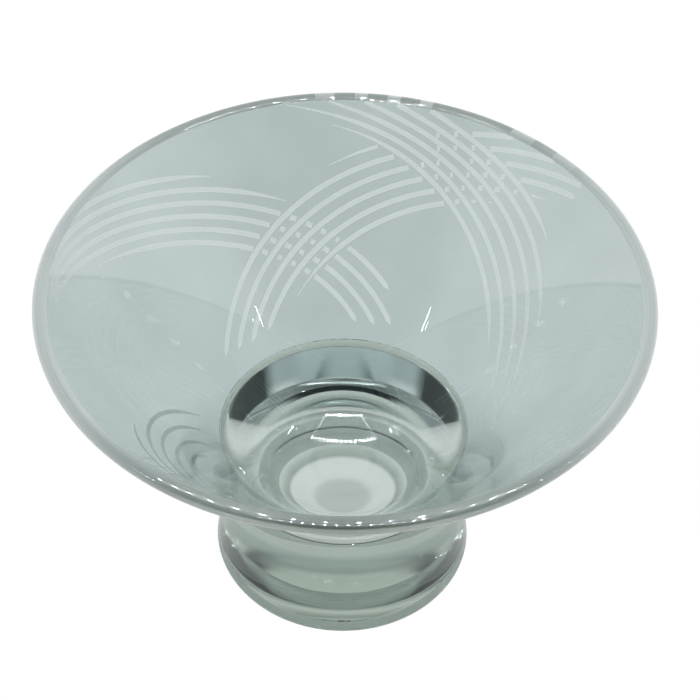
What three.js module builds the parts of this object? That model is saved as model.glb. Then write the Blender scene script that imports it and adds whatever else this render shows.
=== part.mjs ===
// A footed glass bowl: a flared cup with a rounded bottom, set in the dished top of a solid pedestal foot.
// Millimetres, +Z up. The origin is the middle of the base, on the table. The front of the bowl faces -Y.
import * as THREE from "three";

// Driving dimensions of the bowl
const RIM_RADIUS = 100;        // outermost edge of the rim
const HEIGHT = 128.3;          // table to the top of the rim
const WALL = 5.4;              // glass thickness, square to the wall
const BOTTOM_CURVE = 37.7;     // radius of the rounded bottom inside
const SOLID_BASE = 28.7;       // table to the lowest point inside the bowl

// Driving dimensions of the foot
const NECK_RADIUS = 44.6;      // foot where it meets the bowl
const FOOT_RADIUS = 46.3;      // foot at its widest, just above the table
const FLARE_POWER = 7;         // how close to the base the side turns outwards
const BASE_EDGE_ROUND = 2;     // ground edge between the side and the base
const NECK_FILLET = 3.3;       // hollow curve from the neck to the underside of the wall
const LIP_EDGE = 0.8;          // thickness of the foot's upper lip
const HOLLOW_RADIUS = 37;      // polished hollow under the foot
const HOLLOW_DEPTH = 0.9;      // its depth at the middle
const SEAT_GAP = 0.3;          // clearance between the bowl and its seat

// How finely the turned forms are divided
const TURN_STEPS = 72;
const BOTTOM_STEPS = 10;
const ROUND_STEPS = 4;
const FILLET_STEPS = 5;
const SIDE_STEPS = 8;
const HOLLOW_STEPS = 6;

// The rim is a full round of the wall's thickness. The wall is the straight line that touches the rounded bottom and
// the rim on their outer side.
const rimRound = WALL / 2;
const bottomCentre = new THREE.Vector2(0, SOLID_BASE + BOTTOM_CURVE);
const rimCentre = new THREE.Vector2(RIM_RADIUS - rimRound, HEIGHT - rimRound);
const rimFromBottom = rimCentre.clone().sub(bottomCentre);
const wallAngle = rimFromBottom.angle()
  + Math.asin((BOTTOM_CURVE + WALL - rimRound) / rimFromBottom.length());
const outward = new THREE.Vector2(Math.sin(wallAngle), -Math.cos(wallAngle));
const downAngle = -Math.PI / 2;
const outwardAngle = wallAngle + downAngle;

// Height, at a given radius, of the line that lies parallel to the wall at a distance from the bottom's centre
function slantHeight(distance, radius) {
  return bottomCentre.y + (distance - outward.x * radius) / outward.y;
}

// Points along an arc, both ends included
function arc(centre, radius, fromAngle, toAngle, steps) {
  return Array.from({ length: steps + 1 }, (_, i) => {
    const angle = fromAngle + (toAngle - fromAngle) * i / steps;
    return new THREE.Vector2(Math.cos(angle), Math.sin(angle)).multiplyScalar(radius).add(centre);
  });
}

// Rounded bottom at a distance from its centre, from the axis out to where the straight wall leaves it
function bottomArc(radius) {
  const points = arc(bottomCentre, radius, downAngle, outwardAngle, BOTTOM_STEPS);
  points[0].x = 0;
  return points;
}

// Solid of revolution about +Z from a profile of radius and height that starts and ends on the axis
function turned(name, profile, material) {
  const geometry = new THREE.LatheGeometry(profile, TURN_STEPS);
  geometry.rotateX(Math.PI / 2);
  const mesh = new THREE.Mesh(geometry, material);
  mesh.name = name;
  return mesh;
}

// Clear pressed glass with a faint grey-green cast
function clearGlass(colour) {
  return new THREE.MeshStandardMaterial({
    color: colour,
    roughness: 0.03,
    metalness: 0,
    transparent: true,
    opacity: 0.4,
  });
}

// Cup: rounded bottom, straight flared wall and a fire-polished round rim
function bowlProfile() {
  const outside = bottomArc(BOTTOM_CURVE + WALL);
  const rim = arc(rimCentre, rimRound, outwardAngle, outwardAngle + Math.PI, 2 * ROUND_STEPS);
  const inside = bottomArc(BOTTOM_CURVE).reverse();
  return [...outside, ...rim, ...inside];
}

// Polished hollow under the foot: a shallow cap of a sphere
function hollowArc() {
  const sphere = (HOLLOW_RADIUS ** 2 + HOLLOW_DEPTH ** 2) / (2 * HOLLOW_DEPTH);
  const centre = new THREE.Vector2(0, HOLLOW_DEPTH - sphere);
  const edgeAngle = Math.atan2(-centre.y, HOLLOW_RADIUS);
  const points = arc(centre, sphere, Math.PI / 2, edgeAngle, HOLLOW_STEPS);
  points[0].x = 0;
  points[HOLLOW_STEPS].y = 0;
  return points;
}

// Pedestal: flat contact ring, a side that flares out above the base, hollow curve up to a thin lip, and a dished seat
// for the bowl. The side's points lie closer together where it flares.
function footProfile() {
  const seat = BOTTOM_CURVE + WALL + SEAT_GAP;
  const lip = seat + LIP_EDGE;
  const baseEdgeCentre = new THREE.Vector2(FOOT_RADIUS - BASE_EDGE_ROUND, BASE_EDGE_ROUND);
  const baseEdge = arc(baseEdgeCentre, BASE_EDGE_ROUND, downAngle, 0, ROUND_STEPS);
  const filletRadius = NECK_RADIUS + NECK_FILLET;
  const filletCentre = new THREE.Vector2(filletRadius, slantHeight(lip + NECK_FILLET, filletRadius));
  const fillet = arc(filletCentre, NECK_FILLET, Math.PI, outwardAngle + Math.PI, FILLET_STEPS);
  const sideHeight = filletCentre.y - BASE_EDGE_ROUND;
  const side = Array.from({ length: SIDE_STEPS - 1 }, (_, i) => {
    const along = ((i + 1) / SIDE_STEPS) ** 2;
    const radius = THREE.MathUtils.lerp(NECK_RADIUS, FOOT_RADIUS, (1 - along) ** FLARE_POWER);
    return new THREE.Vector2(radius, BASE_EDGE_ROUND + along * sideHeight);
  });
  const lipEnd = fillet[FILLET_STEPS].clone().addScaledVector(outward, -LIP_EDGE);
  const dish = bottomArc(seat).reverse();
  return [...hollowArc(), ...baseEdge, ...side, ...fillet, lipEnd, ...dish];
}

const bowl = turned("bowl", bowlProfile(), clearGlass(0xdfe7e6));
const foot = turned("foot", footProfile(), clearGlass(0xd3dedc));

const footedBowl = new THREE.Group();
footedBowl.add(bowl, foot);

export default footedBowl;
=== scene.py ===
# A footed glass bowl with etched stripes, dressed over its CAD solids. Metres, +Z up, the front faces -Y.
from math import asin, atan2, cos, pi, radians, sin, tau

import bmesh
import bpy
from mathutils import Matrix, Vector
from mathutils.geometry import delaunay_2d_cdt


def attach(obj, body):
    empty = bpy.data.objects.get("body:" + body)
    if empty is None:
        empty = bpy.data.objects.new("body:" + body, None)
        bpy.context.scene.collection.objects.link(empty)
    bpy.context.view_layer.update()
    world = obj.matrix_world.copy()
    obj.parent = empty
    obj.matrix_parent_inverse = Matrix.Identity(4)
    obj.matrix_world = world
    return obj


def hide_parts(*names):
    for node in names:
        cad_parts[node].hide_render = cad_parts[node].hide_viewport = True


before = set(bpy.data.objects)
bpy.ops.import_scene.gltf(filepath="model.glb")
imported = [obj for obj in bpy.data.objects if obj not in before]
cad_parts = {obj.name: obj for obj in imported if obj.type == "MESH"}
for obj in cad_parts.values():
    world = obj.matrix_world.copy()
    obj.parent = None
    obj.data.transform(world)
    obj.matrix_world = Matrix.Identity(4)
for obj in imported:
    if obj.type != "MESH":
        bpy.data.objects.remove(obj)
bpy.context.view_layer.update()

MM = 0.001

# Bowl, in millimetres, as in the CAD source
RIM_RADIUS = 100.0
HEIGHT = 128.3
WALL = 5.4
BOTTOM_CURVE = 37.7
SOLID_BASE = 28.7

# Foot, in millimetres, as in the CAD source, but for a slightly fuller neck and curve under the cup
NECK_RADIUS = 45.0
FOOT_RADIUS = 46.3
FLARE_POWER = 7
BASE_EDGE_ROUND = 2.0
NECK_FILLET = 5.0
HOLLOW_RADIUS = 37.0
HOLLOW_DEPTH = 0.9

# Fused joint: the finished glass has no slit, so foot and bowl come this close, in millimetres
JOINT_GAP = 0.02

# How finely the turned forms are divided
AROUND = 240
FOOT_AROUND = 480
BOTTOM_STEPS = 48
ROUND_STEPS = 10
RIM_STEPS = 28
SIDE_STEPS = 36
# Crowds the steps of the foot's side towards the flare at its base
SIDE_CROWDING = 1.5
HOLLOW_STEPS = 24
WALL_ROWS = 14

# Optical index of heavy crystal glass, and of the rim's skin, which mirrors a little more
GLASS_INDEX = 1.57
RIM_SKIN_INDEX = 2.0

# Roughness of the glass below the rim's skin, of the etched stripes and of the ground contact ring
RIM_ROUGHNESS = 0.35
ETCH_ROUGHNESS = 0.45
RING_ROUGHNESS = 0.3

# Patterns of the surfaces, in millimetres: streaks in the melt, waves from the mould and their height
STREAK = 30.0
BOWL_WAVE = 22.0
FOOT_WAVE = 18.0
WAVE_HEIGHT = 0.01
# Real etch grain is finer than 0.05 mm; it is drawn this coarse so that it shows
ETCH_GRAIN = 0.5
ETCH_DEPTH = 0.05
# Share of that depth that the shading shows
ETCH_RELIEF = 0.3
# Scuffs of the contact ring, clouds in the etched rim and fibres of the paper, in millimetres
SCUFF = 1.5
RIM_CLOUD = 9.0
PAPER_FIBRE = 4.0

# Where a soft or a grainy noise pattern turns from one colour to the other
SOFT_SPAN = (0.35, 0.65)
GRAIN_SPAN = (0.3, 0.7)

# Colour of the rim from its far side, at 0, to its near side, at 1, as painted light and shade: greyer
# behind, pale at the sides, dark olive in front
RIM_PAINTED_LIGHT_AND_SHADE = [(0.0, "acb8b2"), (0.12, "b6c2bc"), (0.25, "f8fffd"), (0.80, "f8fffd"), (0.90, "d0deda"),
              (0.96, "b0beb8"), (1.0, "54645a")]
# Share of the light that passes into the rim, as a grey, along the same way and where the rim is etched.
# The rest scatters at its surface. Set by side, this share paints light and shade as the colour does.
RIM_DEPTH = [(0.0, "bcbcbc"), (0.10, "bcbcbc"), (0.25, "404040"), (0.85, "404040"), (0.93, "a0a0a0"),
             (0.985, "ededed")]
ETCHED_RIM_DEPTH = "404040"

# Etched stripes, in millimetres on the flat sheet that the outer wall makes when it is unrolled from its far
# side. The sheet's origin is the tip of the wall's cone, and +Y runs up the far side. A band is a fan of
# lines between a first and a last curve, each a cubic curve given by four points. Starts and stops say how
# much of its curve each line takes. The shaded band lies on the near wall.
STRIPE_BANDS = {
    "left": {
        "first": [(-119.5, 110.5), (-88, 142.5), (10, 150), (37, 79)],
        "last": [(-122, 90), (-85, 117.5), (-16, 120), (5.5, 79)],
        "starts": [-0.12, -0.12, -0.12, -0.12, -0.10, 0.14],
        "stops": [0.44, 0.61, 0.91, 0.99, 0.99, 0.98],
        "width": 1.9,
        "blunt": True,
        "shaded": False,
    },
    "middle": {
        "first": [(-56, 61), (-46.5, 153.5), (48, 162.5), (94.5, 139.5)],
        "last": [(-25.5, 76.5), (-4.5, 128.5), (52, 136.5), (95, 115.5)],
        "starts": [0.43, 0.02, 0.02, 0.02, 0.03, 0.10],
        "stops": [1.0, 0.99, 0.98, 0.96, 0.88, 0.72],
        "width": 1.95,
        "blunt": True,
        "shaded": False,
    },
    "right": {
        "first": [(-9, 153.5), (45, 144), (67.5, 86), (59, 49)],
        "last": [(15, 167), (91, 127.5), (93, 97), (88.5, 23.5)],
        "starts": [0.02, -0.10, -0.10, -0.10, -0.10, -0.10],
        "stops": [0.80, 0.99, 0.98, 0.97, 0.70, 0.47],
        "width": 1.8,
        "blunt": False,
        "shaded": False,
    },
    "front": {
        "first": [(-160.5, -12.5), (-135, 34), (-109, 59.5), (-68.5, 52.5)],
        "last": [(-146, -22.5), (-122.5, 15.5), (-93.5, 32.5), (-75.5, 25.5)],
        "starts": [0.0, 0.0, 0.0, 0.0, 0.0],
        "stops": [0.45, 0.99, 0.97, 0.97, 0.85],
        "width": 1.65,
        "blunt": False,
        "shaded": True,
    },
}
# Each band passes under the one named beside it
STRIPE_UNDER = {"left": "middle", "middle": "right", "right": None, "front": None}
# Step along a line, and the clear glass left beside a line that passes over
STRIPE_STEP = 0.6
STRIPE_CLEAR = 0.65
# Pieces that a curve is cut into to find its length
LENGTH_PIECES = 40
# A line's ends taper over these lengths, from a share of its width. The full-length lines of a blunt band
# hardly taper.
TAPER_IN = 30
TAPER_OUT = 18
TAPER_BLUNT = 2
TIP_SHARE = 0.12
FULL_START = 0.05
FULL_STOP = 0.9
# Clear glass between the stripes and the wall's lower and upper ends
STRIPE_ABOVE_FOOT = 0.5
STRIPE_BELOW_RIM = 0.3
# A line that comes this close below the rim, or runs this far past it, leaves a milky patch on it; patches
# closer than a small turn run together
PATCH_BELOW = 0.5
PATCH_ABOVE = 1.5
PATCH_JOIN_TURN = 0.01

# Tolerances of the meshes: the stripe cut, the chords of the wall and the axis in millimetres, and equal
# corners in metres
CUT_SLACK = 1e-5
CHORD_SLACK = 0.02
ON_AXIS = 1e-6
SAME_CORNER = 1e-7

# White paper floor, a hair below the foot. The camera sees it mostly as plain glowing white, and the glass
# mostly as a painted pool of light and shadow below; these are the shares and the glow.
FLOOR_DROP = 0.4 * MM
FLOOR_REACH = 6.0
FLOOR_WHITE = 0.985
FLOOR_GLOW = 1.03
GLASS_WHITE = 0.9
# Painted light and shadow of the paper as the glass shows it, by distance from the bowl's axis as a share of
# the reach: a bright pool under the foot with a greyer middle and a ring of painted shadow round it.
POOL_REACH = 0.1
PAINTED_POOL_AND_SHADOW = [(0.0, "dadada"), (0.13, "dcdcdc"), (0.17, "fafafa"), (0.282, "fcfcfc"), (0.305, "b8beb8"),
               (0.335, "ccd2ce"), (0.365, "e4eae6"), (0.46, "d0d6d2"), (0.60, "dcdedc"), (0.90, "fdfdfd")]

# The tent's back and sides as seen from the bowl, by height above the horizon as the sine of that angle
BACK_SHADES = [(0.0, "f4f6f6"), (0.20, "eceeee"), (0.50, "bcc6c6"), (0.57, "f4f8f8"), (0.645, "f4f8f8"),
               (0.68, "d0dcdc"), (0.755, "c0cccc"), (0.775, "e4ece8"), (0.86, "f4faf6"), (0.92, "e0e8e4"),
               (0.95, "d4dada")]
SIDE_SHADES = [(0.0, "f4f6f6"), (0.35, "e6eaea"), (0.64, "bec8c8"), (0.735, "bac5c5"), (0.755, "eef0f0"),
               (0.79, "8c9696"), (0.95, "a8b0b0")]
# Turns are measured from the front. Softness is in the cosine of a turn or the sine of a height.
SIDE_TURN = radians(105)
SIDE_SOFT = 0.2
# The dark opening in front: sharp at its sides where it is high, softer and wider below
OPENING_DARK = "0f1b1f"
OPENING_TOP = radians(54)
OPENING_TOP_SOFT = 0.02
OPENING_HIGH = radians(38)
OPENING_HIGH_SOFT = 0.05
OPENING_TURN = radians(50)
OPENING_TURN_SOFT = 0.07
OPENING_SPREAD = radians(56)
OPENING_SPREAD_SOFT = 0.22
# A dark seam in the cloth, full between two turns and faint in the middle of the back. It rises to the sides.
SEAM_DARK = "566064"
SEAM_TURNS = (radians(98), radians(146))
SEAM_TURN_SOFT = (0.08, 0.2)
SEAM_FAINT = 0.05
SEAM_BACK_HEIGHT = 0.72
SEAM_GROWTH = 0.236
SEAM_HALF_HEIGHT = 0.04
SEAM_EDGE_SOFT = 0.02

# Lamps: two rows of small bars under the ceiling, joined by two sides. A row is its half width and its place
# from back to front.
LAMP_COLOUR = "f8fbff"
LAMP_HEIGHT = 1.5
BACK_ROW = (0.95, -0.20)
FRONT_ROW = (0.62, -1.10)
LAMP_BREADTH = 0.013
LAMP_LENGTH = 0.09
LAMPS_WIDE = 16
LAMPS_DEEP = 18
ROW_GLOW = 220.0
SIDE_GLOW = 10.0
# Small lamps low at the sides, which make short glints on the far wall: turn from the front and height, both
# in degrees, of the ends of each row
GLINT_ROWS = [((63.0, 24.7), (78.0, 19.2)), ((-60.0, 25.3), (-66.0, 21.9))]
GLINT_FAR = 1.5
GLINT_COUNT = 4
GLINT_HALF_WIDTH = 0.006
GLINT_HALF_HEIGHT = 0.05
GLINT_GLOW = 30.0

# Light is followed through this many turns inside the solid foot
LIGHT_TURNS = 24

# Camera, from the ellipse of the rim in the photograph
PHOTO_SIDE = 700
FOCAL_PIXELS = 1750
SENSOR = 36.0
CAMERA_AT = (0.0, -0.40613, 0.51591)
CAMERA_PITCH = 0.80131
CAMERA_YAW = 0.00435
CAMERA_ROLL = radians(0.95)

# Leaves a vector's level part
FLATTEN = (1.0, 1.0, 0.0)
# Colour sockets of a mix node, which share their names with its other sockets
MIX_FIRST = 6
MIX_SECOND = 7
MIX_RESULT = 2

# The rim is a full round of the wall's thickness. The wall is the straight line that touches the rounded
# bottom and the rim on their outer side.
rim_round = WALL / 2
bottom_centre = Vector((0.0, SOLID_BASE + BOTTOM_CURVE))
rim_centre = Vector((RIM_RADIUS - rim_round, HEIGHT - rim_round))
rim_from_bottom = rim_centre - bottom_centre
wall_angle = atan2(rim_from_bottom.y, rim_from_bottom.x) + asin(
    (BOTTOM_CURVE + WALL - rim_round) / rim_from_bottom.length)
outward = Vector((sin(wall_angle), -cos(wall_angle)))
outward_angle = wall_angle - pi / 2


def slant_height(distance, radius):
    """Height, at a radius, of the line parallel to the wall at a distance from the bottom's centre."""
    return bottom_centre.y + (distance - outward.x * radius) / outward.y


def arc(centre, radius, start, stop, steps, facing=1):
    """Points of an arc with the direction that the surface faces at each of them."""
    points = []
    for i in range(steps + 1):
        angle = start + (stop - start) * i / steps
        spoke = Vector((cos(angle), sin(angle)))
        points.append((centre + radius * spoke, facing * spoke))
    return points


def linear(hex_colour, alpha=1.0):
    """An sRGB hex colour as the linear colour that shaders take."""
    channels = [int(hex_colour[i:i + 2], 16) / 255 for i in (0, 2, 4)]
    return [c / 12.92 if c <= 0.04045 else ((c + 0.055) / 1.055) ** 2.4 for c in channels] + [alpha]


def add_node(tree, kind, inputs=None, stops=None, **settings):
    """A node with its settings, its values and links and, for a ramp, its (place, sRGB colour) stops."""
    node = tree.nodes.new(kind)
    for name, value in settings.items():
        setattr(node, name, value)
    for name, value in (inputs or {}).items():
        if isinstance(value, bpy.types.NodeSocket):
            tree.links.new(value, node.inputs[name])
        else:
            node.inputs[name].default_value = value
    for i, (place, colour) in enumerate(stops or []):
        points = node.color_ramp.elements
        point = points[i] if i < len(points) else points.new(place)
        point.position = place
        point.color = linear(colour)
    return node


def new_material(name):
    """An empty node material, its nodes and its output node."""
    material = bpy.data.materials.new(name)
    material.use_nodes = True
    tree = material.node_tree
    tree.nodes.clear()
    return material, tree, add_node(tree, "ShaderNodeOutputMaterial")


def polished_glass(name, pale, deep, wave):
    """Pressed crystal glass, fire polished: a faint grey-green cast, soft mould waves, sharp reflections."""
    material, tree, output = new_material(name)
    place = add_node(tree, "ShaderNodeTexCoord").outputs["Object"]
    streaks = add_node(tree, "ShaderNodeTexNoise", {
        "Vector": place, "Scale": 1 / (STREAK * MM), "Detail": 3.0})
    tint = add_node(tree, "ShaderNodeValToRGB", {"Fac": streaks.outputs["Fac"]},
                    stops=[(SOFT_SPAN[0], deep), (SOFT_SPAN[1], pale)])
    waves = add_node(tree, "ShaderNodeTexNoise", {"Vector": place, "Scale": 1 / (wave * MM), "Detail": 1.0})
    surface = add_node(tree, "ShaderNodeBump", {
        "Height": waves.outputs["Fac"], "Strength": 1.0, "Distance": WAVE_HEIGHT * MM})
    shader = add_node(tree, "ShaderNodeBsdfPrincipled", {
        "Base Color": tint.outputs["Color"], "Roughness": 0.0, "IOR": GLASS_INDEX,
        "Transmission Weight": 1.0, "Normal": surface.outputs["Normal"]})
    tree.links.new(shader.outputs["BSDF"], output.inputs["Surface"])
    return material


def rim_glass(name, patches):
    """Fire-polished edge of the wall: light that runs up inside the wall leaves here, so the edge looks
    solid. Its colour is painted light and shade, olive in front, greyer behind and pale at the sides, with a
    milky patch at each etched stripe."""
    material, tree, output = new_material(name)
    place = add_node(tree, "ShaderNodeTexCoord").outputs["Object"]
    flat = add_node(tree, "ShaderNodeVectorMath", {0: place, 1: FLATTEN}, operation="MULTIPLY").outputs[0]
    spoke = add_node(tree, "ShaderNodeVectorMath", {0: flat}, operation="NORMALIZE").outputs[0]
    ahead = add_node(tree, "ShaderNodeSeparateXYZ", {"Vector": spoke}).outputs
    nearness = add_node(tree, "ShaderNodeMapRange", {
        "Value": ahead["Y"], "From Min": 1.0, "From Max": -1.0}).outputs[0]
    turn = add_node(tree, "ShaderNodeMath", {0: ahead["X"], 1: ahead["Y"]}, operation="ARCTAN2").outputs[0]
    share = add_node(tree, "ShaderNodeMapRange", {
        "Value": turn, "From Min": -pi, "From Max": pi}).outputs[0]
    patch_stops = [(0.0, "000000")]
    for start, stop in patches:
        patch_stops += [(start / tau + 0.5, "ffffff"), (stop / tau + 0.5, "000000")]
    patch = add_node(tree, "ShaderNodeValToRGB", {"Fac": share}, stops=patch_stops)
    patch.color_ramp.interpolation = "CONSTANT"
    etched = patch.outputs["Color"]
    cloud = add_node(tree, "ShaderNodeTexNoise", {
        "Vector": place, "Scale": 1 / (RIM_CLOUD * MM), "Detail": 3.0})
    milky = add_node(tree, "ShaderNodeValToRGB", {"Fac": cloud.outputs["Fac"]},
                     stops=[(SOFT_SPAN[0], "f2f8fa"), (SOFT_SPAN[1], "fcfefe")])
    # Painted light and shade: the rim's colour and the light it lets in are set by its side
    edge = add_node(tree, "ShaderNodeValToRGB", {"Fac": nearness}, stops=RIM_PAINTED_LIGHT_AND_SHADE)
    depth = add_node(tree, "ShaderNodeValToRGB", {"Fac": nearness}, stops=RIM_DEPTH)
    tint = add_node(tree, "ShaderNodeMix", {
        "Factor": etched, MIX_FIRST: edge.outputs["Color"], MIX_SECOND: milky.outputs["Color"]},
        data_type="RGBA").outputs[MIX_RESULT]
    sink = add_node(tree, "ShaderNodeMix", {
        "Factor": etched, MIX_FIRST: depth.outputs["Color"], MIX_SECOND: linear(ETCHED_RIM_DEPTH)},
        data_type="RGBA").outputs[MIX_RESULT]
    shader = add_node(tree, "ShaderNodeBsdfPrincipled", {
        "Base Color": tint, "Roughness": RIM_ROUGHNESS, "IOR": GLASS_INDEX, "Transmission Weight": sink,
        "Coat Weight": 1.0, "Coat Roughness": 0.0, "Coat IOR": RIM_SKIN_INDEX})
    tree.links.new(shader.outputs["BSDF"], output.inputs["Surface"])
    return material


def etched_glass(name, pale, deep):
    """Acid-etched glass: a milky, finely grained skin that scatters what falls on it and comes through it."""
    material, tree, output = new_material(name)
    place = add_node(tree, "ShaderNodeTexCoord").outputs["Object"]
    grain = add_node(tree, "ShaderNodeTexNoise", {
        "Vector": place, "Scale": 1 / (ETCH_GRAIN * MM), "Detail": 2.0})
    milk = add_node(tree, "ShaderNodeValToRGB", {"Fac": grain.outputs["Fac"]},
                    stops=[(GRAIN_SPAN[0], deep), (GRAIN_SPAN[1], pale)])
    surface = add_node(tree, "ShaderNodeBump", {
        "Height": grain.outputs["Fac"], "Strength": ETCH_RELIEF, "Distance": ETCH_DEPTH * MM})
    shader = add_node(tree, "ShaderNodeBsdfPrincipled", {
        "Base Color": milk.outputs["Color"], "Roughness": ETCH_ROUGHNESS, "IOR": GLASS_INDEX,
        "Transmission Weight": 1.0, "Normal": surface.outputs["Normal"]})
    tree.links.new(shader.outputs["BSDF"], output.inputs["Surface"])
    return material


def ground_glass(name, pale, deep):
    """Ground and worn contact ring: a satin skin that softens what is seen through it."""
    material, tree, output = new_material(name)
    place = add_node(tree, "ShaderNodeTexCoord").outputs["Object"]
    scuffs = add_node(tree, "ShaderNodeTexNoise", {"Vector": place, "Scale": 1 / (SCUFF * MM), "Detail": 3.0})
    tint = add_node(tree, "ShaderNodeValToRGB", {"Fac": scuffs.outputs["Fac"]},
                    stops=[(GRAIN_SPAN[0], deep), (GRAIN_SPAN[1], pale)])
    shader = add_node(tree, "ShaderNodeBsdfPrincipled", {
        "Base Color": tint.outputs["Color"], "Roughness": RING_ROUGHNESS, "IOR": GLASS_INDEX,
        "Transmission Weight": 1.0})
    tree.links.new(shader.outputs["BSDF"], output.inputs["Surface"])
    return material


def fused_joint(name):
    """Where bowl and foot were melted together there is no surface, so light passes straight on."""
    material, tree, output = new_material(name)
    shader = add_node(tree, "ShaderNodeBsdfTransparent", {"Color": linear("ffffff")})
    tree.links.new(shader.outputs["BSDF"], output.inputs["Surface"])
    return material


# The bowl's grey-green is deeper than its glass's own cast: partly its colour, partly painted shade for the
# dimmer backdrop seen through it
bowl_glass = polished_glass("polished_bowl_glass", "c2d0cf", "bccac9", BOWL_WAVE)
foot_glass = polished_glass("polished_foot_glass", "ecf3ed", "e4ece5", FOOT_WAVE)
# What crosses the solid foot from side to side has a long way through glass, so its side is deeper in colour
side_glass = polished_glass("polished_foot_side_glass", "a8b6ac", "a0aea4", FOOT_WAVE)
stripe_glass = etched_glass("acid_etched_stripe", "f8fcfd", "eef3f4")
# The stripes of the near wall show darker than those of the far wall, so their glass is painted greyer, as
# painted shade
shaded_stripe_glass = etched_glass("acid_etched_stripe_in_shade", "a8b4b4", "9ca8a8")
joint_glass = fused_joint("fused_glass_joint")
# The contact ring's glass is greyer than the foot's: painted shade along the edge of the base; its scuffs are
# wear
ring_glass = ground_glass("ground_contact_ring", "aab5ae", "9ca7a0")


def cubic(points, along):
    """Point of a cubic curve."""
    left = 1 - along
    weights = (left ** 3, 3 * left * left * along, 3 * left * along * along, along ** 3)
    return sum((weight * point for weight, point in zip(weights, points)), Vector((0.0, 0.0)))


def stripe_line(band, index):
    """Evenly spaced points along one line of a band, each with the line's half width there."""
    share = index / (len(band["starts"]) - 1)
    points = [Vector(a).lerp(Vector(b), share) for a, b in zip(band["first"], band["last"])]
    start = band["starts"][index]
    stop = band["stops"][index]
    marks = [cubic(points, start + (stop - start) * i / LENGTH_PIECES) for i in range(LENGTH_PIECES + 1)]
    length = sum((b - a).length for a, b in zip(marks, marks[1:]))
    steps = round(length / STRIPE_STEP)
    taper_in = TAPER_BLUNT if band["blunt"] and start < FULL_START else TAPER_IN
    taper_out = TAPER_BLUNT if band["blunt"] and stop > FULL_STOP else TAPER_OUT
    line = []
    for i in range(steps + 1):
        along = i / steps
        width_in = TIP_SHARE + along * length / taper_in
        width_out = TIP_SHARE + (1 - along) * length / taper_out
        half = 0.5 * band["width"] * min(1.0, width_in, width_out)
        line.append((cubic(points, start + (stop - start) * along), half))
    return line


def stripe_runs(line, covers, lowest, highest):
    """The stretches of a line that lie on the wall and clear of the lines that pass over it."""
    runs = [[]]
    for point, half in line:
        free = lowest < point.length < highest and all(
            (point - other).length > over + STRIPE_CLEAR for other, over in covers)
        if free:
            runs[-1].append((point, half))
        elif runs[-1]:
            runs.append([])
    return [run for run in runs if len(run) > 2]


def stripe_outline(run):
    """Closed outline of one stretch of a line."""
    left = []
    right = []
    for i, (point, half) in enumerate(run):
        ahead = run[min(i + 1, len(run) - 1)][0] - run[max(i - 1, 0)][0]
        side = Vector((-ahead.y, ahead.x)).normalized() * half
        left.append(point + side)
        right.append(point - side)
    return right + left[::-1]


def rim_patches(lines, highest):
    """Turns about the axis, as (start, stop), between which an etched line runs up to the rim."""
    found = []
    for line in lines:
        near = [(point, half) for point, half in line
                if highest - PATCH_BELOW < point.length < highest + PATCH_ABOVE]
        if near:
            turns = [atan2(point.x, point.y) / cos(wall_angle) for point, _ in near]
            pad = near[0][1] / RIM_RADIUS
            found.append((min(turns) - pad, max(turns) + pad))
    merged = []
    for start, stop in sorted(found):
        if merged and start < merged[-1][1] + PATCH_JOIN_TURN:
            merged[-1] = (merged[-1][0], max(stop, merged[-1][1]))
        else:
            merged.append((start, stop))
    return merged


def all_stripes(lines, lowest, highest):
    """Outlines of every etched stretch on the unrolled wall, each with its glass."""
    outlines = []
    for name, band in STRIPE_BANDS.items():
        over = STRIPE_UNDER[name]
        covers = [point for line in lines[over] for point in line] if over else []
        glass = shaded_stripe_glass if band["shaded"] else stripe_glass
        for line in lines[name]:
            outlines += [(stripe_outline(run), glass) for run in stripe_runs(line, covers, lowest, highest)]
    return outlines


def roll_up(flat):
    """The place on the outer wall of a point of the unrolled sheet, in millimetres."""
    slant = flat.length
    turn = atan2(flat.x, flat.y) / cos(wall_angle)
    radius = slant * cos(wall_angle)
    cone_tip = slant_height(BOTTOM_CURVE + WALL, 0.0)
    return Vector((radius * sin(turn), radius * cos(turn), cone_tip + slant * sin(wall_angle)))


def spin(point, turn):
    """A profile point turned about the axis; turn 0 is the far side."""
    return Vector((point.x * sin(turn), point.x * cos(turn), point.y))


class TurnedMesh:
    """A solid of revolution gathered face by face, with the true direction of the surface at each corner."""

    def __init__(self, name, materials, around):
        self.name = name
        self.around = around
        self.mesh = bmesh.new()
        self.facing = self.mesh.verts.layers.float_vector.new("facing")
        self.materials = materials

    def corner(self, place, facing):
        """A corner at a place in millimetres."""
        vertex = self.mesh.verts.new(place * MM)
        vertex[self.facing] = facing
        return vertex

    def face(self, corners, material):
        """A face of one of the mesh's materials."""
        made = self.mesh.faces.new(corners)
        made.material_index = self.materials.index(material)
        made.smooth = True

    def add_profile(self, profile, material):
        """Turns a run of profile points about the axis."""
        rings = []
        for point, facing in profile:
            if point.x < ON_AXIS:
                rings.append([self.corner(spin(point, 0.0), spin(facing, 0.0))] * (self.around + 1))
                continue
            turns = [tau * i / self.around for i in range(self.around)]
            ring = [self.corner(spin(point, turn), spin(facing, turn)) for turn in turns]
            rings.append(ring + ring[:1])
        for low, high in zip(rings, rings[1:]):
            for i in range(self.around):
                corners = [low[i], high[i], high[i + 1], low[i + 1]]
                self.face(list(dict.fromkeys(corners)), material)

    def finish(self):
        """The closed piece, shaded by its true directions."""
        bmesh.ops.remove_doubles(self.mesh, verts=self.mesh.verts, dist=SAME_CORNER)
        data = bpy.data.meshes.new(self.name)
        directions = [tuple(v[self.facing].normalized()) for v in self.mesh.verts]
        self.mesh.to_mesh(data)
        self.mesh.free()
        data.normals_split_custom_set_from_vertices(directions)
        for material in self.materials:
            data.materials.append(material)
        piece = bpy.data.objects.new(self.name, data)
        bpy.context.collection.objects.link(piece)
        return piece


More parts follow.
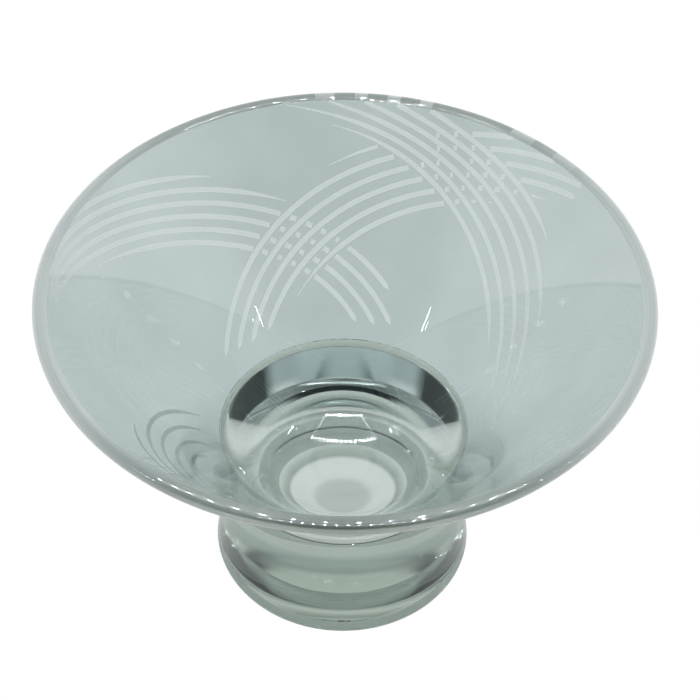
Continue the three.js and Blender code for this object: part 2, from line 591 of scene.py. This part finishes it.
def add_striped_wall(turned, lines, lowest, highest):
    """The outer wall between two slants, cut along the outlines of its etched stripes."""
    half_turn = pi * cos(wall_angle)
    places = []
    for row in range(WALL_ROWS + 1):
        slant = lowest + (highest - lowest) * row / WALL_ROWS
        for i in range(AROUND + 1):
            angle = half_turn * (2 * i / AROUND - 1)
            places.append(Vector((slant * sin(angle), slant * cos(angle))))
    width = AROUND + 1
    top = WALL_ROWS * width
    edges = [(i, i + 1) for i in range(AROUND)] + [(top + i, top + i + 1) for i in range(AROUND)]
    for row in range(WALL_ROWS):
        edges.append((row * width, (row + 1) * width))
        edges.append((row * width + AROUND, (row + 1) * width + AROUND))
    outlines = []
    glasses = []
    for outline, glass in all_stripes(lines, lowest + STRIPE_ABOVE_FOOT, highest - STRIPE_BELOW_RIM):
        outlines.append(list(range(len(places), len(places) + len(outline))))
        glasses.append(glass)
        places += outline
    flat, _, triangles, _, _, sources = delaunay_2d_cdt(places, edges, outlines, 0, CUT_SLACK)
    corners = []
    for point in flat:
        place = roll_up(point)
        turn = atan2(place.x, place.y)
        corners.append(turned.corner(place, spin(outward, turn)))
    for triangle, source in zip(triangles, sources):
        middle = sum((flat[i] for i in triangle), Vector((0.0, 0.0))) / 3
        if middle.length < lowest - CHORD_SLACK or abs(atan2(middle.x, middle.y)) > half_turn:
            continue
        turned.face([corners[i] for i in reversed(triangle)], glasses[source[0]] if source else bowl_glass)


def fillet_centre():
    """Centre of the hollow curve between the neck and the underside of the wall."""
    radius = NECK_RADIUS + NECK_FILLET
    return Vector((radius, slant_height(BOTTOM_CURVE + WALL + JOINT_GAP + NECK_FILLET, radius)))


def make_bowl():
    """Cup: rounded bottom, straight flared wall with its stripes, and a fire-polished round rim."""
    lines = {}
    for name, band in STRIPE_BANDS.items():
        lines[name] = [stripe_line(band, i) for i in range(len(band["starts"]))]
    rim = arc(rim_centre, rim_round, outward_angle, outward_angle + pi, RIM_STEPS)
    wall_end = rim[0][0].x / cos(wall_angle)
    every_line = [line for band_lines in lines.values() for line in band_lines]
    edge_glass = rim_glass("fire_polished_rim", rim_patches(every_line, wall_end))
    glasses = [bowl_glass, stripe_glass, joint_glass, edge_glass, shaded_stripe_glass]
    turned = TurnedMesh("glass_bowl", glasses, AROUND)
    outer = BOTTOM_CURVE + WALL
    joint = arc(bottom_centre, outer, -pi / 2, outward_angle, BOTTOM_STEPS)
    joint[0][0].x = 0.0
    lip = fillet_centre() - NECK_FILLET * outward - bottom_centre
    lip_point = bottom_centre + outer * outward + (lip - lip.dot(outward) * outward)
    joint.append((lip_point, outward.copy()))
    turned.add_profile(joint, joint_glass)
    add_striped_wall(turned, lines, lip_point.x / cos(wall_angle), wall_end)
    turned.add_profile(rim, edge_glass)
    inside = arc(bottom_centre, BOTTOM_CURVE, outward_angle, -pi / 2, BOTTOM_STEPS, -1)
    inside[-1][0].x = 0.0
    wall_top = rim[-1][0]
    wall = [(wall_top.lerp(inside[0][0], i / WALL_ROWS), -outward) for i in range(WALL_ROWS)]
    turned.add_profile(wall + inside, bowl_glass)
    return turned.finish()


def make_foot():
    """Pedestal: polished hollow, flat contact ring, flared side and the curve that runs out on the wall."""
    glasses = [foot_glass, joint_glass, ring_glass, side_glass]
    turned = TurnedMesh("glass_foot", glasses, FOOT_AROUND)
    sphere = (HOLLOW_RADIUS ** 2 + HOLLOW_DEPTH ** 2) / (2 * HOLLOW_DEPTH)
    hollow_centre = Vector((0.0, HOLLOW_DEPTH - sphere))
    edge_angle = atan2(-hollow_centre.y, HOLLOW_RADIUS)
    hollow = arc(hollow_centre, sphere, pi / 2, edge_angle, HOLLOW_STEPS, -1)
    hollow[0][0].x = 0.0
    edge_centre = Vector((FOOT_RADIUS - BASE_EDGE_ROUND, BASE_EDGE_ROUND))
    edge = arc(edge_centre, BASE_EDGE_ROUND, -pi / 2, 0.0, ROUND_STEPS)
    fillet_at = fillet_centre()
    side_height = fillet_at.y - BASE_EDGE_ROUND
    flare = FOOT_RADIUS - NECK_RADIUS
    side = []
    for i in range(1, SIDE_STEPS):
        along = (i / SIDE_STEPS) ** SIDE_CROWDING
        radius = NECK_RADIUS + flare * (1 - along) ** FLARE_POWER
        slope = -FLARE_POWER * flare * (1 - along) ** (FLARE_POWER - 1) / side_height
        place = Vector((radius, BASE_EDGE_ROUND + along * side_height))
        side.append((place, Vector((1.0, -slope)).normalized()))
    fillet = arc(fillet_at, NECK_FILLET, pi, outward_angle + pi, ROUND_STEPS, -1)
    turned.add_profile(hollow, foot_glass)
    turned.add_profile([(hollow[-1][0], Vector((0.0, -1.0)))] + edge, ring_glass)
    turned.add_profile(edge[-1:] + side + fillet, side_glass)
    seat = BOTTOM_CURVE + WALL + JOINT_GAP
    dish = arc(bottom_centre, seat, outward_angle, -pi / 2, BOTTOM_STEPS, -1)
    dish[-1][0].x = 0.0
    turned.add_profile([(fillet[-1][0], -outward)] + dish, joint_glass)
    return turned.finish()


bowl = make_bowl()
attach(bowl, "root")
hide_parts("bowl")

foot = make_foot()
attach(foot, "root")
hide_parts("foot")


def stage_sheets(name, sheets, material):
    """One mesh of the studio's flat sheets, each given by its middle and the halves of its two sides."""
    corners = []
    faces = []
    for middle, across, along in sheets:
        first = len(corners)
        corners += [middle - across - along, middle - across + along]
        corners += [middle + across + along, middle + across - along]
        faces.append((first, first + 1, first + 2, first + 3))
    data = bpy.data.meshes.new(name)
    data.from_pydata(corners, [], faces)
    data.materials.append(material)
    piece = bpy.data.objects.new(name, data)
    bpy.context.collection.objects.link(piece)
    return piece


def floor_paper(name):
    """Matt white paper: reads as white to the camera, keeps a soft share of the shadow, and shows in the
    glass a painted pool of light that the solid foot gathers on it, ringed by painted shadow."""
    material, tree, output = new_material(name)
    place = add_node(tree, "ShaderNodeTexCoord").outputs["Object"]
    fibre = add_node(tree, "ShaderNodeTexNoise", {
        "Vector": place, "Scale": 1 / (PAPER_FIBRE * MM), "Detail": 4.0})
    shade = add_node(tree, "ShaderNodeValToRGB", {"Fac": fibre.outputs["Fac"]},
                     stops=[(0.0, "f2f3f3"), (1.0, "f6f6f6")])
    paper = add_node(tree, "ShaderNodeBsdfDiffuse", {"Color": shade.outputs["Color"]})
    white = add_node(tree, "ShaderNodeEmission", {"Color": linear("ffffff"), "Strength": FLOOR_GLOW})
    flat = add_node(tree, "ShaderNodeVectorMath", {0: place, 1: FLATTEN}, operation="MULTIPLY").outputs[0]
    reach = add_node(tree, "ShaderNodeVectorMath", {0: flat}, operation="LENGTH").outputs["Value"]
    span = add_node(tree, "ShaderNodeMath", {0: reach, 1: 1 / POOL_REACH}, operation="MULTIPLY").outputs[0]
    # Painted pool of light under the foot, with painted shadow round it
    painted_pool = add_node(tree, "ShaderNodeValToRGB", {"Fac": span}, stops=PAINTED_POOL_AND_SHADOW)
    pool = add_node(tree, "ShaderNodeEmission", {"Color": painted_pool.outputs["Color"], "Strength": 1.0})
    path = add_node(tree, "ShaderNodeLightPath").outputs
    bent = add_node(tree, "ShaderNodeMath", {0: path["Is Glossy Ray"], 1: path["Is Transmission Ray"]},
                    operation="MAXIMUM").outputs[0]
    in_glass = add_node(tree, "ShaderNodeMath", {0: bent, 1: GLASS_WHITE}, operation="MULTIPLY").outputs[0]
    in_view = add_node(tree, "ShaderNodeMath", {0: path["Is Camera Ray"], 1: FLOOR_WHITE},
                       operation="MULTIPLY").outputs[0]
    seen = add_node(tree, "ShaderNodeMixShader", {0: in_view, 1: paper.outputs[0], 2: white.outputs[0]})
    mix = add_node(tree, "ShaderNodeMixShader", {0: in_glass, 1: seen.outputs[0], 2: pool.outputs[0]})
    tree.links.new(mix.outputs[0], output.inputs["Surface"])
    return material


floor_middle = Vector((0.0, 0.0, -FLOOR_DROP))
floor_sheet = (floor_middle, Vector((0.0, FLOOR_REACH, 0.0)), Vector((FLOOR_REACH, 0.0, 0.0)))
stage_sheets("floor", [floor_sheet], floor_paper("white_paper_floor"))


def tent_world(name):
    """Pale cloth tent round the bowl: bright back, shaded sides, dark seam and dark opening in front."""
    sky = bpy.data.worlds.new(name)
    sky.use_nodes = True
    tree = sky.node_tree
    tree.nodes.clear()
    way = add_node(tree, "ShaderNodeTexCoord").outputs["Generated"]
    height = add_node(tree, "ShaderNodeSeparateXYZ", {"Vector": way}).outputs["Z"]
    flat = add_node(tree, "ShaderNodeVectorMath", {0: way, 1: FLATTEN}, operation="MULTIPLY").outputs[0]
    ahead = add_node(tree, "ShaderNodeVectorMath", {0: flat}, operation="NORMALIZE").outputs[0]
    front = add_node(tree, "ShaderNodeVectorMath", {0: ahead, 1: (0.0, -1.0, 0.0)},
                     operation="DOT_PRODUCT").outputs["Value"]
    seam_height = add_node(tree, "ShaderNodeMath", {
        0: front, 1: SEAM_GROWTH, 2: SEAM_BACK_HEIGHT + SEAM_GROWTH}, operation="MULTIPLY_ADD").outputs[0]
    seam_off = add_node(tree, "ShaderNodeMath", {0: height, 1: seam_height}, operation="SUBTRACT").outputs[0]
    seam_away = add_node(tree, "ShaderNodeMath", {0: seam_off}, operation="ABSOLUTE").outputs[0]
    # Each share rises softly from 0 to 1 round an edge, or falls where the softness is negative
    edges = {
        "at_side": (front, cos(SIDE_TURN), SIDE_SOFT),
        "seam_begun": (front, cos(SEAM_TURNS[0]), -SEAM_TURN_SOFT[0]),
        "seam_full": (front, cos(SEAM_TURNS[1]), SEAM_TURN_SOFT[1]),
        "in_seam": (seam_away, SEAM_HALF_HEIGHT, -SEAM_EDGE_SOFT),
        "below_top": (height, sin(OPENING_TOP), -OPENING_TOP_SOFT),
        "high": (height, sin(OPENING_HIGH), OPENING_HIGH_SOFT),
        "narrow": (front, cos(OPENING_TURN), OPENING_TURN_SOFT),
        "wide": (front, cos(OPENING_SPREAD), OPENING_SPREAD_SOFT),
    }
    share = {}
    for edge, (value, middle, soft) in edges.items():
        share[edge] = add_node(tree, "ShaderNodeMapRange", {
            "Value": value, "From Min": middle - soft, "From Max": middle + soft},
            interpolation_type="SMOOTHSTEP").outputs[0]
    seam_force = add_node(tree, "ShaderNodeMath", {0: share["seam_full"], 1: SEAM_FAINT},
                          operation="MAXIMUM").outputs[0]
    seam_across = add_node(tree, "ShaderNodeMath", {0: share["seam_begun"], 1: seam_force},
                           operation="MULTIPLY").outputs[0]
    seam = add_node(tree, "ShaderNodeMath", {0: seam_across, 1: share["in_seam"]},
                    operation="MULTIPLY").outputs[0]
    sharp = add_node(tree, "ShaderNodeMath", {0: share["high"], 1: share["narrow"]},
                     operation="MULTIPLY").outputs[0]
    gape = add_node(tree, "ShaderNodeMath", {0: sharp, 1: share["wide"]}, operation="MAXIMUM").outputs[0]
    opening = add_node(tree, "ShaderNodeMath", {0: share["below_top"], 1: gape},
                       operation="MULTIPLY").outputs[0]
    back = add_node(tree, "ShaderNodeValToRGB", {"Fac": height}, stops=BACK_SHADES)
    sides = add_node(tree, "ShaderNodeValToRGB", {"Fac": height}, stops=SIDE_SHADES)
    shell = back.outputs["Color"]
    covers = [
        (share["at_side"], sides.outputs["Color"]),
        (seam, linear(SEAM_DARK)),
        (opening, linear(OPENING_DARK)),
    ]
    for covered, colour in covers:
        shell = add_node(tree, "ShaderNodeMix", {"Factor": covered, MIX_FIRST: shell, MIX_SECOND: colour},
                         data_type="RGBA").outputs[MIX_RESULT]
    surround = add_node(tree, "ShaderNodeBackground", {"Color": shell, "Strength": 1.0})
    add_node(tree, "ShaderNodeOutputWorld", {"Surface": surround.outputs[0]})
    return sky


bpy.context.scene.world = tent_world("pale_cloth_tent")


def glowing_lamps(name, bars, strength):
    """Small bright bars that only mirror in the glass."""
    material, tree, output = new_material(name + "_face")
    glow = add_node(tree, "ShaderNodeEmission", {"Color": linear(LAMP_COLOUR), "Strength": strength})
    tree.links.new(glow.outputs[0], output.inputs["Surface"])
    lamps = stage_sheets(name, bars, material)
    lamps.visible_camera = False
    lamps.visible_diffuse = False
    lamps.visible_transmission = False


def lamp_row(half_width, ahead):
    """Bars of a row from left to right."""
    bars = []
    for i in range(LAMPS_WIDE):
        middle = Vector((half_width * (2 * i / (LAMPS_WIDE - 1) - 1), ahead, LAMP_HEIGHT))
        bars.append((middle, Vector((LAMP_BREADTH / 2, 0.0, 0.0)), Vector((0.0, LAMP_LENGTH / 2, 0.0))))
    return bars


def lamp_sides():
    """Bars of the two sides, between the ends of the rows."""
    bars = []
    for side in (-1, 1):
        for i in range(1, LAMPS_DEEP):
            wide, ahead = [a + (b - a) * i / LAMPS_DEEP for a, b in zip(BACK_ROW, FRONT_ROW)]
            middle = Vector((side * wide, ahead, LAMP_HEIGHT))
            bars.append((middle, Vector((LAMP_LENGTH / 2, 0.0, 0.0)), Vector((0.0, LAMP_BREADTH / 2, 0.0))))
    return bars


def glint_bars():
    """Upright slips that face the bowl."""
    bars = []
    for start, stop in GLINT_ROWS:
        for i in range(GLINT_COUNT):
            turn, rise = [radians(a + (b - a) * i / (GLINT_COUNT - 1)) for a, b in zip(start, stop)]
            way = Vector((cos(rise) * sin(turn), -cos(rise) * cos(turn), sin(rise)))
            across = way.cross(Vector((0.0, 0.0, 1.0))).normalized()
            middle = GLINT_FAR * way + Vector((0.0, 0.0, SOLID_BASE * MM))
            bars.append((middle, across * GLINT_HALF_WIDTH, across.cross(way) * GLINT_HALF_HEIGHT))
    return bars


glowing_lamps("lamp_rows", lamp_row(*FRONT_ROW) + lamp_row(*BACK_ROW), ROW_GLOW)
glowing_lamps("lamp_sides", lamp_sides(), SIDE_GLOW)
glowing_lamps("side_glints", glint_bars(), GLINT_GLOW)

cycles = bpy.context.scene.cycles
cycles.max_bounces = LIGHT_TURNS
cycles.glossy_bounces = LIGHT_TURNS
cycles.transmission_bounces = LIGHT_TURNS
cycles.transparent_max_bounces = LIGHT_TURNS
cycles.sample_clamp_indirect = 0.0

# Camera: looks down and ahead, and leans a little to one side
level = Vector((cos(CAMERA_YAW), -sin(CAMERA_YAW), 0.0))
ahead = Vector((sin(CAMERA_YAW), cos(CAMERA_YAW), 0.0))
forward = cos(CAMERA_PITCH) * ahead + Vector((0.0, 0.0, -sin(CAMERA_PITCH)))
upright = level.cross(forward)
right = cos(CAMERA_ROLL) * level + sin(CAMERA_ROLL) * upright
up = cos(CAMERA_ROLL) * upright - sin(CAMERA_ROLL) * level
lens = bpy.data.cameras.new("camera")
lens.sensor_width = SENSOR
lens.lens = FOCAL_PIXELS * SENSOR / PHOTO_SIDE
camera = bpy.data.objects.new("camera", lens)
camera.matrix_world = Matrix.Translation(CAMERA_AT) @ Matrix((right, up, -forward)).transposed().to_4x4()
bpy.context.collection.objects.link(camera)
bpy.context.scene.camera = camera
bpy.context.scene.view_settings.view_transform = "Standard"
